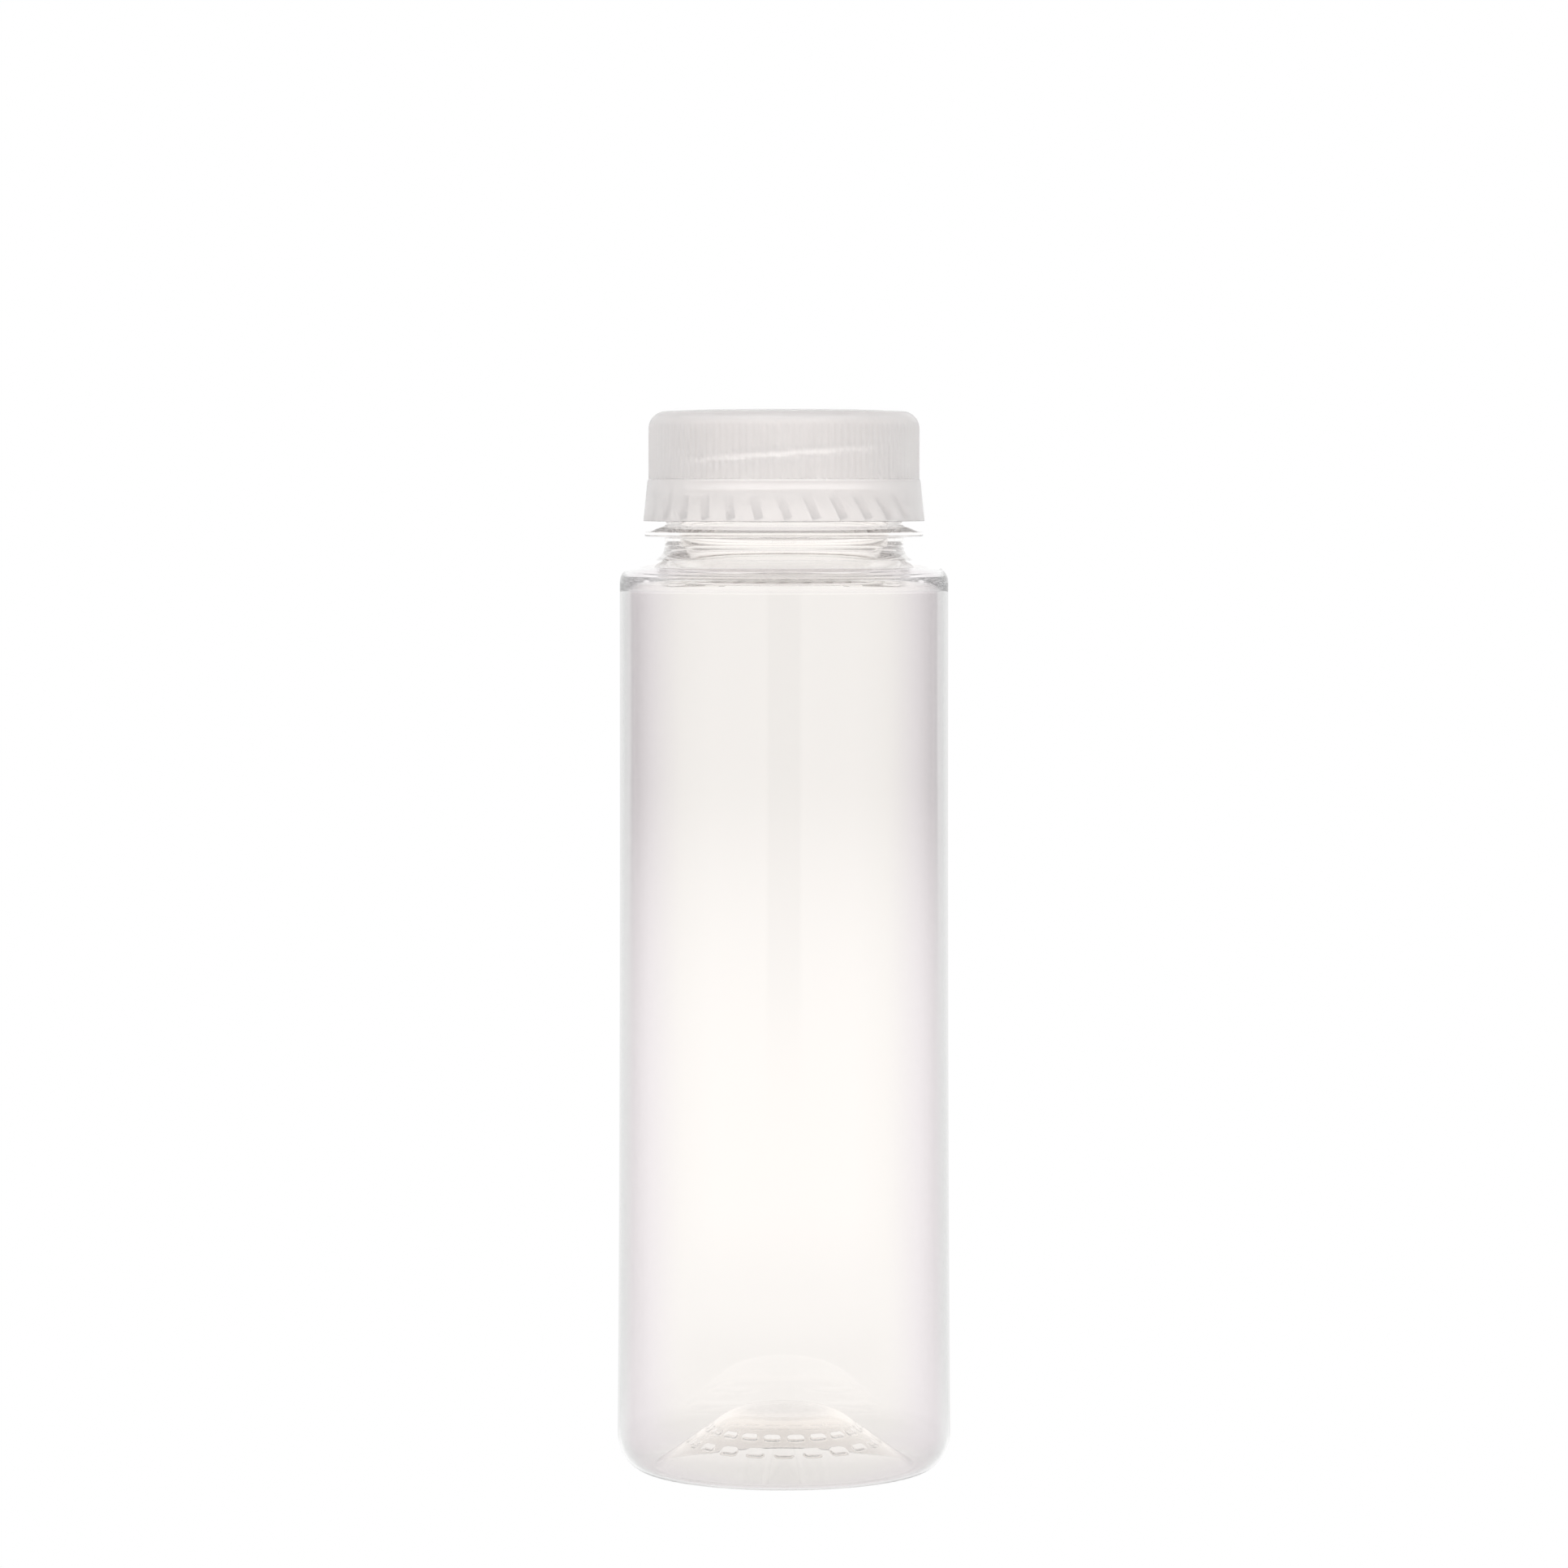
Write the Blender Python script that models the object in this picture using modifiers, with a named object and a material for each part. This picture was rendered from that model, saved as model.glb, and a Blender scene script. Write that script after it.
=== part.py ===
"""A 250 ml clear PET drinks bottle, shut with its natural polypropylene screw cap.

The bottle is one blown shell: threaded finish, support ledge, square shoulder,
straight body, rounded heel and a pushed-up base. The cap is one moulding: a
ribbed skirt, a slit crossed by small bridges, and a tamper band with flaps.
Metres, +Z up. The origin is the middle of the standing ring, on the table.
"""

import math

import bmesh
import bpy
from mathutils import Matrix, Vector

MM = 0.001

# Driving dimensions of the pack, in millimetres
TOTAL_HEIGHT = 162.0
BODY_TOP_RADIUS = 25.03
BODY_LOW_RADIUS = 25.53
BODY_FLARE_POWER = 2.5
HEEL_WIDTH = 4.3
HEEL_HEIGHT = 5.7
SHOULDER_EDGE_Z = 137.7
SHOULDER_EDGE_FILLET = 2.4
NECK_FOOT_Z = 139.65
NECK_FOOT_FILLET = 2.5
NECK_RADIUS = 18.2

# Pushed-up base, seen from below
STANDING_RING_INNER = 19.8
STANDING_RING_FILLET = 1.4
CROWN_EDGE = (9.6, 7.0)
CROWN_HEIGHT = 8.8

# Threaded finish under the cap
BORE_RADIUS = 16.0
FINISH_RADIUS = 17.45
LIP_Z = 160.3
LIP_FILLET = 0.4
LEDGE_RADIUS = 21.2
LEDGE_TOP_ROOT_Z = 144.4
LEDGE_TIP_TOP_Z = 143.45
LEDGE_TIP_LOW_Z = 142.8
LEDGE_LOW_ROOT_Z = 142.6
BEAD_RADIUS = 18.75
BEAD_LOW_Z = 149.3
BEAD_TOP_Z = 150.0
BEAD_SLOPE = 0.6
FINISH_FOOT_RADIUS = 17.7
FINISH_TAPER = 0.1
BORE_FLARE_DEPTH = 1.0

# Wall thickness of the blown shell, by height and then by radius in the base
WALL_BY_HEIGHT = ((13.0, 0.4), (133.0, 0.42), (135.5, 0.7), (137.9, 1.3), (139.3, 1.1),
                  (141.5, 2.2))
WALL_BY_RADIUS = ((0.0, 1.1), (9.6, 0.7), (19.8, 0.45), (23.0, 0.4))

# Cap
CAP_RADIUS = 20.62
CAP_WALL = 1.15
CAP_TOP_WALL = 1.4
CAP_TOP_FILLET = 2.6
CAP_TOP_CROWN = 0.3
CAP_FLAT_RADIUS = 12.4
CAP_INNER_FILLET = 0.8
RIB_COUNT = 120
RIB_DEPTH = 0.2
RIB_SEAT = 0.05
RIB_LOW_Z = 151.9
RIB_TOP_Z = 159.4
BAND_TOP_RADIUS = 20.8
BAND_LOW_RADIUS = 21.43
BAND_TOP_Z = 151.2
BAND_LOW_Z = 145.1
BAND_WALL = 0.95
SLIT_Z = 151.55
SLIT_HEIGHT = 0.2
BRIDGE_COUNT = 12
BRIDGE_WIDTH = 0.9
FLAP_COUNT = 30
FLAP_SIZE = (0.45, 1.3, 3.9)
FLAP_CENTRE_RADIUS = 19.7
FLAP_CENTRE_Z = 147.2
FLAP_LEAN = math.radians(-24.0)
FLAP_SLANT = math.radians(17.0)

# Two-start right-hand thread; angles are measured from +X
THREAD_LEAD = 7.6
THREAD_STARTS = 2
THREAD_STEP_DEG = 9.0
FRONT_DEG = 270.0
BOTTLE_THREAD_PATH_RADIUS = 17.7
BOTTLE_THREAD_THICKNESS = 0.95
BOTTLE_THREAD_MIDDLE_Z = 154.8
BOTTLE_THREAD_SWEEP_DEG = 225.0
CAP_THREAD_PATH_RADIUS = 19.25
CAP_THREAD_THICKNESS = 0.8
CAP_THREAD_MIDDLE_Z = 156.7
CAP_THREAD_SWEEP_DEG = 198.0
THREAD_END_SHARE = 0.6

# Facets: sides of a full turn, degrees a step on a fillet, and steps of the long curves
SIDES = 56
FILLET_STEP_DEG = 28.0
HEEL_STEPS = 6
BODY_STEPS = 4
BODY_STEP_POWER = 0.8
CROWN_STEPS = 4

# How far cutters run past what they cut, and the welding distance in metres
CUTTER_RUN = 1.0
MERGE = 0.00001


def clear_scene():
    for old in list(bpy.data.objects):
        bpy.data.objects.remove(old, do_unlink=True)


def new_collection(name):
    collection = bpy.data.collections.new(name)
    bpy.context.scene.collection.children.link(collection)
    return collection


def between(table, value):
    """Read a value off a short table of (place, value) pairs, straight between them."""
    if value <= table[0][0]:
        return table[0][1]
    for (low, low_value), (high, high_value) in zip(table, table[1:]):
        if value <= high:
            return low_value + (high_value - low_value) * (value - low) / (high - low)
    return table[-1][1]


def rounded(corners):
    """Turn corners (radius, height, fillet) into points, each fillet as an arc."""
    points = []
    for index, (r, z, fillet) in enumerate(corners):
        corner = Vector((r, z))
        if fillet == 0.0:
            points.append(corner)
            continue
        to_last = (Vector(corners[index - 1][:2]) - corner).normalized()
        to_next = (Vector(corners[index + 1][:2]) - corner).normalized()
        half = to_last.angle(to_next) / 2
        centre = corner + (to_last + to_next).normalized() * fillet / math.sin(half)
        start = corner + to_last * fillet / math.tan(half) - centre
        turn = start.angle_signed(corner + to_next * fillet / math.tan(half) - centre)
        steps = max(2, round(math.degrees(abs(turn)) / FILLET_STEP_DEG))
        for step in range(steps + 1):
            points.append(centre + Matrix.Rotation(-turn * step / steps, 2) @ start)
    return points


def body_radius(z):
    """The straight body widens very slightly towards its foot."""
    along = max(0.0, (SHOULDER_EDGE_Z - z) / (SHOULDER_EDGE_Z - HEEL_HEIGHT))
    return BODY_TOP_RADIUS + (BODY_LOW_RADIUS - BODY_TOP_RADIUS) * along ** BODY_FLARE_POWER


def crown_z(r):
    """Height of the base's rounded crown, which meets the straight flank without a crease."""
    edge_r, edge_z = CROWN_EDGE
    flank_slope = edge_z / (STANDING_RING_INNER - edge_r)
    rise = CROWN_HEIGHT - edge_z
    share = r / edge_r
    fullness = 1 - flank_slope * edge_r / (2 * rise)
    return CROWN_HEIGHT - rise * share ** 2 * (1 + (1 - share ** 2) * fullness)


def blown_outline():
    """Outer outline of the blown part, from under the ledge down to the base's middle."""
    points = rounded([
        (NECK_RADIUS, LEDGE_LOW_ROOT_Z, 0.0),
        (NECK_RADIUS, NECK_FOOT_Z, NECK_FOOT_FILLET),
        (BODY_TOP_RADIUS, SHOULDER_EDGE_Z, SHOULDER_EDGE_FILLET),
        (BODY_TOP_RADIUS, HEEL_HEIGHT, 0.0),
    ])
    points.pop()
    top = points[-1].y
    for step in range(1, BODY_STEPS):
        z = top + (HEEL_HEIGHT - top) * (step / BODY_STEPS) ** BODY_STEP_POWER
        points.append(Vector((body_radius(z), z)))
    for step in range(HEEL_STEPS + 1):
        angle = math.radians(90.0 * step / HEEL_STEPS)
        r = BODY_LOW_RADIUS - HEEL_WIDTH * (1 - math.cos(angle))
        points.append(Vector((r, HEEL_HEIGHT * (1 - math.sin(angle)))))
    points += rounded([
        (BODY_LOW_RADIUS - HEEL_WIDTH, 0.0, 0.0),
        (STANDING_RING_INNER, 0.0, STANDING_RING_FILLET),
        (*CROWN_EDGE, 0.0),
    ])[1:]
    for step in range(1, CROWN_STEPS + 1):
        r = CROWN_EDGE[0] * (1 - step / CROWN_STEPS)
        points.append(Vector((r, crown_z(r))))
    return points


def wall_at(point):
    if point.y > 2 * HEEL_HEIGHT:
        return between(WALL_BY_HEIGHT, point.y)
    return between(WALL_BY_RADIUS, point.x)


def offset_inwards(points):
    """Move an outline that runs top to bottom into the bottle by its wall thickness."""
    moved = []
    for index, point in enumerate(points):
        before = points[max(index - 1, 0)]
        after = points[min(index + 1, len(points) - 1)]
        along = (after - before).normalized()
        inwards = Vector((along.y, -along.x))
        if point.x == 0.0:
            inwards = Vector((0.0, 1.0))
        moved.append(point + inwards * wall_at(point))
    return moved


def bottle_outline():
    """Section of the shell: up the inside from the base, over the lip and down."""
    blown = blown_outline()
    flare_z = LEDGE_LOW_ROOT_Z - BORE_FLARE_DEPTH
    inside = [p for p in offset_inwards(blown) if p.y < flare_z]
    finish = rounded([
        (BORE_RADIUS, LEDGE_TIP_TOP_Z, 0.0),
        (BORE_RADIUS, LIP_Z, LIP_FILLET),
        (FINISH_RADIUS, LIP_Z, LIP_FILLET),
        (FINISH_RADIUS, BEAD_TOP_Z + BEAD_SLOPE, 0.0),
        (BEAD_RADIUS, BEAD_TOP_Z, 0.0),
        (BEAD_RADIUS, BEAD_LOW_Z, 0.0),
        (FINISH_FOOT_RADIUS, BEAD_LOW_Z - FINISH_TAPER, 0.0),
        (NECK_RADIUS - FINISH_TAPER, LEDGE_TOP_ROOT_Z, 0.0),
        (LEDGE_RADIUS, LEDGE_TIP_TOP_Z, 0.0),
        (LEDGE_RADIUS, LEDGE_TIP_LOW_Z, 0.0),
    ])
    return inside[::-1] + finish + blown


def turned(name, outline, collection, material=None):
    """Spin an outline of (radius, height) points about Z with a Screw modifier."""
    mesh = bpy.data.meshes.new(name)
    places = [(p.x * MM, 0.0, p.y * MM) for p in outline]
    mesh.from_pydata(places, [(i, i + 1) for i in range(len(places) - 1)], [])
    thing = bpy.data.objects.new(name, mesh)
    collection.objects.link(thing)
    screw = thing.modifiers.new("turn", "SCREW")
    screw.axis = "Z"
    screw.steps = SIDES
    screw.render_steps = SIDES
    screw.use_merge_vertices = True
    screw.merge_threshold = MERGE
    if material:
        mesh.materials.append(material)
    return thing


def hide_cutter(cutter):
    cutter.hide_render = True
    cutter.display_type = "WIRE"


def combine(target, operation, operand, label):
    step = target.modifiers.new(label, "BOOLEAN")
    step.operation = operation
    step.solver = "EXACT"
    step.object = operand


def baked(source, name, collection):
    """A mesh copy of a curve as it evaluates, with its caps welded on."""
    bpy.context.view_layer.update()
    evaluated = source.evaluated_get(bpy.context.evaluated_depsgraph_get())
    mesh = bpy.data.meshes.new_from_object(evaluated)
    welded = bmesh.new()
    welded.from_mesh(mesh)
    bmesh.ops.remove_doubles(welded, verts=welded.verts, dist=MERGE)
    bmesh.ops.recalc_face_normals(welded, faces=welded.faces)
    welded.to_mesh(mesh)
    welded.free()
    copy = bpy.data.objects.new(name, mesh)
    copy.matrix_world = source.matrix_world
    collection.objects.link(copy)
    bpy.data.objects.remove(source, do_unlink=True)
    return copy


def thread(name, path_radius, thickness, middle_z, sweep_deg, collection):
    """The ridges of a two-start thread: round bars along helices, thin at both ends."""
    curve = bpy.data.curves.new(name, "CURVE")
    curve.dimensions = "3D"
    curve.bevel_depth = thickness * MM
    curve.bevel_resolution = 1
    curve.use_fill_caps = True
    steps = round(sweep_deg / THREAD_STEP_DEG)
    for start in range(THREAD_STARTS):
        spline = curve.splines.new("POLY")
        spline.points.add(steps)
        for index, point in enumerate(spline.points):
            swept = sweep_deg * (index / steps - 0.5)
            angle = math.radians(FRONT_DEG + 360.0 * start / THREAD_STARTS + swept)
            z = middle_z + THREAD_LEAD * swept / 360.0
            x, y = path_radius * math.cos(angle), path_radius * math.sin(angle)
            point.co = (x * MM, y * MM, z * MM, 1.0)
            point.radius = THREAD_END_SHARE if index in (0, steps) else 1.0
    ridge = bpy.data.objects.new(name, curve)
    collection.objects.link(ridge)
    return baked(ridge, name + "_bars", collection)


def cap_outline():
    """Outer outline of the cap, from its crowned top down to the band's foot."""
    return rounded([
        (0.0, TOTAL_HEIGHT, 0.0),
        (CAP_FLAT_RADIUS, TOTAL_HEIGHT, 0.0),
        (CAP_RADIUS - RIB_DEPTH - RIB_SEAT, TOTAL_HEIGHT - CAP_TOP_CROWN, CAP_TOP_FILLET),
        (CAP_RADIUS - RIB_DEPTH - RIB_SEAT, SLIT_Z - SLIT_HEIGHT / 4, 0.0),
        (BAND_TOP_RADIUS, BAND_TOP_Z, 0.0),
        (BAND_LOW_RADIUS, BAND_LOW_Z, 0.0),
        (0.0, BAND_LOW_Z, 0.0),
    ])


def cap_hollow_outline():
    """The space inside the cap, run past its open foot."""
    foot = BAND_LOW_Z - CUTTER_RUN
    return rounded([
        (0.0, TOTAL_HEIGHT - CAP_TOP_WALL, 0.0),
        (CAP_RADIUS - CAP_WALL, TOTAL_HEIGHT - CAP_TOP_WALL, CAP_INNER_FILLET),
        (CAP_RADIUS - CAP_WALL, BAND_TOP_Z, 0.0),
        (BAND_LOW_RADIUS - BAND_WALL, BAND_LOW_Z, 0.0),
        (BAND_LOW_RADIUS - BAND_WALL, foot, 0.0),
        (0.0, foot, 0.0),
    ])


def rib_drum(collection):
    """A drum with a zigzag edge: every other corner is pulled in, which leaves ribs."""
    mesh = bpy.data.meshes.new("rib_drum")
    drum = bmesh.new()
    depth = (RIB_TOP_Z - RIB_LOW_Z) * MM
    bmesh.ops.create_cone(drum, cap_ends=True, segments=2 * RIB_COUNT,
                          radius1=CAP_RADIUS * MM, radius2=CAP_RADIUS * MM, depth=depth)
    step = math.pi / RIB_COUNT
    for corner in drum.verts:
        place = round(math.atan2(corner.co.y, corner.co.x) / step)
        if place % 2:
            corner.co.xy *= 1 - RIB_DEPTH / CAP_RADIUS
    drum.to_mesh(mesh)
    drum.free()
    thing = bpy.data.objects.new("rib_drum", mesh)
    thing.location.z = (RIB_TOP_Z + RIB_LOW_Z) / 2 * MM
    collection.objects.link(thing)
    return thing


def ring_of_boxes(name, count, size, place, collection):
    """Equal boxes round the axis, each set by the matrix that place gives it."""
    mesh = bpy.data.meshes.new(name)
    boxes = bmesh.new()
    for index in range(count):
        turn = Matrix.Rotation(2 * math.pi * (index + 0.5) / count, 4, "Z")
        scale = Matrix.Diagonal((*[side * MM for side in size], 1.0))
        bmesh.ops.create_cube(boxes, size=1.0, matrix=turn @ place @ scale)
    boxes.to_mesh(mesh)
    boxes.free()
    thing = bpy.data.objects.new(name, mesh)
    collection.objects.link(thing)
    return thing


def slit_cutter(collection):
    """Flat boxes that cut through the skirt and leave a bridge between each pair."""
    outer = BAND_TOP_RADIUS + CUTTER_RUN
    inner = CAP_RADIUS - CAP_WALL - CUTTER_RUN
    arc = 2 * math.pi * CAP_RADIUS / BRIDGE_COUNT
    size = (outer - inner, arc - BRIDGE_WIDTH, SLIT_HEIGHT)
    place = Matrix.Translation(((outer + inner) / 2 * MM, 0.0, SLIT_Z * MM))
    return ring_of_boxes("slit_cutter", BRIDGE_COUNT, size, place, collection)


def flaps(collection):
    """Small tabs that fold up and in from the band's foot and catch under the bead."""
    place = Matrix.Translation((FLAP_CENTRE_RADIUS * MM, 0.0, FLAP_CENTRE_Z * MM))
    place = place @ Matrix.Rotation(FLAP_LEAN, 4, "Y") @ Matrix.Rotation(FLAP_SLANT, 4, "X")
    return ring_of_boxes("flaps", FLAP_COUNT, FLAP_SIZE, place, collection)


def plastic(name, colour, roughness, transmission, ior):
    material = bpy.data.materials.new(name)
    material.use_nodes = True
    shader = material.node_tree.nodes["Principled BSDF"]
    shader.inputs["Base Color"].default_value = (*colour, 1.0)
    shader.inputs["Roughness"].default_value = roughness
    shader.inputs["Metallic"].default_value = 0.0
    shader.inputs["Transmission Weight"].default_value = transmission
    shader.inputs["IOR"].default_value = ior
    return material


def make_bottle(parts, cutters):
    clear = plastic("clear_pet", (0.93, 0.92, 0.92), 0.05, 0.95, 1.575)
    bottle = turned("bottle_shell", bottle_outline(), parts, clear)
    ridges = thread("bottle_thread", BOTTLE_THREAD_PATH_RADIUS, BOTTLE_THREAD_THICKNESS,
                    BOTTLE_THREAD_MIDDLE_Z, BOTTLE_THREAD_SWEEP_DEG, cutters)
    hide_cutter(ridges)
    combine(bottle, "UNION", ridges, "thread")


def make_cap(parts, cutters):
    natural = plastic("natural_polypropylene", (0.86, 0.85, 0.84), 0.35, 0.5, 1.49)
    cap = turned("screw_cap", cap_outline(), parts, natural)
    ridges = thread("cap_thread", CAP_THREAD_PATH_RADIUS, CAP_THREAD_THICKNESS,
                    CAP_THREAD_MIDDLE_Z, CAP_THREAD_SWEEP_DEG, cutters)
    steps = (
        ("UNION", rib_drum(cutters), "ribs"),
        ("DIFFERENCE", turned("cap_hollow", cap_hollow_outline(), cutters), "hollow"),
        ("UNION", ridges, "thread"),
        ("DIFFERENCE", slit_cutter(cutters), "slit"),
        ("UNION", flaps(cutters), "flaps"),
    )
    for operation, operand, label in steps:
        hide_cutter(operand)
        combine(cap, operation, operand, label)


def main():
    clear_scene()
    parts = new_collection("clear_drinks_bottle")
    cutters = new_collection("cutters")
    make_bottle(parts, cutters)
    make_cap(parts, cutters)
    bpy.context.view_layer.update()


main()
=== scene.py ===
"""Looks of the clear drinks bottle: its blown shell, its moulded cap and a pale studio.

Laid out as an add-on with one operator a piece, and run as a script.
Sizes are in metres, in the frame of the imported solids. +Z is up, -Y faces the camera.
"""

import math

import bmesh
import bpy
from mathutils import Matrix, Vector, noise


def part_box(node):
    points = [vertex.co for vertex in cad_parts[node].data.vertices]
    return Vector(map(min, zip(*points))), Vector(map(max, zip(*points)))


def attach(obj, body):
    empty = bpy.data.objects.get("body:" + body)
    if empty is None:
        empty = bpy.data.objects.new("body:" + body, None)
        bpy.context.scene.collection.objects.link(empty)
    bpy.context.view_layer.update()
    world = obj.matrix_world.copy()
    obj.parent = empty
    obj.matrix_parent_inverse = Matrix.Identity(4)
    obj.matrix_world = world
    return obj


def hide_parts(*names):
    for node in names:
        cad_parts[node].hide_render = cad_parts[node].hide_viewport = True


bl_info = {
    "name": "Clear Drinks Bottle",
    "version": (1, 0, 0),
    "blender": (4, 5, 0),
    "location": "View3D > Sidebar > Bottle",
    "description": "Adds a clear PET drinks bottle with its screw cap and a pale studio",
    "category": "Add Mesh",
}

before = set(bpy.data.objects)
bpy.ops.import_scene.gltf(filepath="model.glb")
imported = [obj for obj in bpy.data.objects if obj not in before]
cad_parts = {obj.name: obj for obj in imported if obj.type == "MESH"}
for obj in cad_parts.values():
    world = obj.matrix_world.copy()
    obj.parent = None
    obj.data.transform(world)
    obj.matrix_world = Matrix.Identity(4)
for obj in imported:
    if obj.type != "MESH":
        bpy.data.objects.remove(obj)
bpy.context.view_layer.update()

MM = 0.001
SHELL_NODE = "bottle_shell"
CAP_NODE = "screw_cap"

# Sizes read from the solids, in millimetres
SHELL_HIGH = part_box(SHELL_NODE)[1] / MM
CAP_LOW, CAP_HIGH = (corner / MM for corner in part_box(CAP_NODE))
TOTAL_HEIGHT = CAP_HIGH.z
LIP_Z = SHELL_HIGH.z
BODY_LOW_RADIUS = SHELL_HIGH.x
BAND_LOW_RADIUS = CAP_HIGH.x
BAND_LOW_Z = CAP_LOW.z

# Blown body, in millimetres
BODY_TOP_RADIUS = 25.03
BODY_FLARE_POWER = 2.5
HEEL_WIDTH = 4.3
HEEL_HEIGHT = 5.7
SHOULDER_EDGE_Z = 137.7
SHOULDER_FILLET = 2.4
NECK_FOOT_Z = 139.65
NECK_FOOT_FILLET = 2.5
NECK_RADIUS = 18.2
STANDING_RING_INNER = 19.8
STANDING_RING_FILLET = 1.4
CROWN_EDGE = (9.6, 7.0)
CROWN_HEIGHT = 8.8

# Wall thickness by height, and by radius in heel and base
WALL_BY_HEIGHT = ((13.0, 0.4), (134.7, 0.42), (135.6, 0.66), (137.9, 1.3), (139.3, 1.1),
                  (141.5, 2.2))
WALL_BY_RADIUS = ((0.0, 1.1), (9.6, 0.7), (19.8, 0.45), (23.0, 0.4))

# Radii between which the stretched wall, with its painted edge shade, gives way to the thick neck
# and base, which get none of it
STRETCHED_RADIUS = 24.3
THICK_RADIUS = 21.0

# Heights between which painted shade darkens the heel and base: none at the first, full at the
# second
BASE_SHADE_TOP = 6.5
BASE_SHADE_FULL = 3.5

# Painted shade round a point over the crown's middle: full up to the first distance, gone at the
# second
CROWN_SHADE_Z = CROWN_HEIGHT + 1.0
CROWN_SHADE_REACH = (5.0, 9.0)

# Faint waviness of the blown inside: where it runs, its depth, and how tight it is in noise cells
WAVES_FROM_Z = HEEL_HEIGHT + 6.0
WAVES_TO_Z = SHOULDER_EDGE_Z - 4.0
WAVE_DEPTH = 0.02
WAVES_ROUND = 2.2
WAVES_PER_MM = 0.012

# Threaded finish and support ledge
BORE_RADIUS = 16.0
FINISH_RADIUS = 17.45
FINISH_FOOT_RADIUS = 17.7
LEDGE_RADIUS = 21.2
LEDGE_TOP_ROOT_Z = 144.4
LEDGE_TIP_TOP_Z = 143.45
LEDGE_TIP_LOW_Z = 142.8
LEDGE_LOW_ROOT_Z = 142.6
LEDGE_FILLET = 0.1
LEDGE_TOP_ROOT_FILLET = 0.35
BEAD_RADIUS = 18.75
BEAD_LOW_Z = 149.3
BEAD_TOP_Z = 150.0
BEAD_SLOPE = 0.6
BEAD_FILLET = 0.25
BEAD_TOP_ROOT_FILLET = 0.4
BEAD_LOW_ROOT_FILLET = 0.3
LIP_FILLET = 0.4
FINISH_TAPER = 0.1
BORE_FLARE_DEPTH = 1.0

# Raised marks on the flank of the pushed-up base; their slope is in shares of half their width
MARK_RADII = (11.2, 13.9)
MARK_LENGTH = 2.6
MARK_WIDTH = 0.8
MARK_SLOPE = (0.4, 1.1)
MARK_MARGIN = 1.0

# Two-start right-hand thread, with -Y at 270 degrees from +X; a height below 0 stands inwards
THREAD_LEAD = 7.6
THREAD_STARTS = 2
FRONT_ANGLE = math.radians(270.0)
BOTTLE_THREAD = {"middle": 154.8, "sweep": 225.0, "width": 1.7, "height": 1.2}
CAP_THREAD = {"middle": 156.7, "sweep": 198.0, "width": 1.9, "height": -0.32}
THREAD_RUN_OUT = math.radians(14.0)
THREAD_FLAT_SHARE = 0.25

# Cap
CAP_RADIUS = 20.62
CAP_WALL = 1.15
CAP_TOP_WALL = 1.4
CAP_CROWN_SHARE = 0.6
CAP_CROWN_DROP = 0.3
CAP_CROWN_FILLET = 12.0
CAP_EDGE_FILLET = 2.6
CAP_INNER_FILLET = 0.8
RIB_LOW_Z = 151.9
RIB_TOP_Z = 160.3
RIB_FADE = 0.5
BAND_TOP_RADIUS = 20.8
BAND_TOP_Z = 151.2
BAND_WALL = 0.95
BAND_TOP_FILLET = 0.12
BAND_LOW_FILLET = 0.15
SLIT_Z = 151.55
SLIT_HEIGHT = 0.02
CAP_THREAD_FROM_Z = SLIT_Z + 0.4
BRIDGE_COUNT = 12
BRIDGE_ANGLE = math.radians(2.5)
FLAP_COUNT = 30
FLAP_SIZE = (0.45, 1.3, 3.9)
FLAP_BEVEL = 0.14
FLAP_CENTRE_RADIUS = 19.7
FLAP_CENTRE_Z = 147.2
FLAP_LEAN = math.radians(-24.0)
FLAP_SLANT = math.radians(17.0)

# Facets: numbers round and along an outline, and the longest steps along it in millimetres
SHELL_SIDES = 320
SIDES_PER_RIB = 6
FILLET_STEP = math.radians(9.0)
CLOSE_RING = 0.3
BODY_STEPS = 14
BODY_STEP_POWER = 2.2
HEEL_STEPS = 14
CROWN_STEPS = 12
MARK_STEP = 0.4
PLAIN_STEP = 1.4
THREAD_STEP = 0.45
SKIRT_STEP = 0.8
BAND_STEP = 1.5
ON_AXIS = 1e-6
SHARP_ANGLE = math.radians(60.0)

# Camera, fitted to the photograph's outlines
CAMERA_DISTANCE = 0.890
CAMERA_HEIGHT = 0.1503
CAMERA_PITCH = math.radians(2.914)
CAMERA_LENS = 134.0
SENSOR = 36.0

# Studio, in metres; the left softbox mirrors the right one
SOFTBOX_PLACE = (0.8, -0.9, 0.5)
SOFTBOX_SIZE = (0.5, 0.8)
SOFTBOX_WATTS = 9.5
FLOOR_Z = -0.1 * MM
FLOOR_SIDES = 96

# Where the mirrored room changes its level, by a direction's upward or backward part.
# The gap's edge is in shares of its half width, and the turn from front to side runs from 0 to 1.
CEILING_EDGE = (-0.014, -0.004)
TABLE_BACK_EDGE = (0.8, 0.4)
TABLE_FRONT_EDGE = (0.3, -0.7)
GAP_EDGE = (0.85, 1.1)
ROOM_TURN = (0.38, 0.62)
PANEL_FADE = 0.012


def linear(code):
    """An sRGB hex colour as linear red, green, blue and alpha."""
    channels = [int(code[start:start + 2], 16) / 255 for start in (1, 3, 5)]
    return tuple(c / 12.92 if c <= 0.04045 else ((c + 0.055) / 1.055) ** 2.4
                 for c in channels) + (1.0,)


def between(table, value):
    """Read a value off a short table of (place, value) pairs, straight between them."""
    if value <= table[0][0]:
        return table[0][1]
    for (low, low_value), (high, high_value) in zip(table, table[1:]):
        if value <= high:
            return low_value + (high_value - low_value) * (value - low) / (high - low)
    return table[-1][1]


def smooth(low, high, value):
    """0 below low, 1 above high, and an even S-curve between."""
    t = min(1.0, max(0.0, (value - low) / (high - low)))
    return t * t * (3 - 2 * t)


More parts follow.
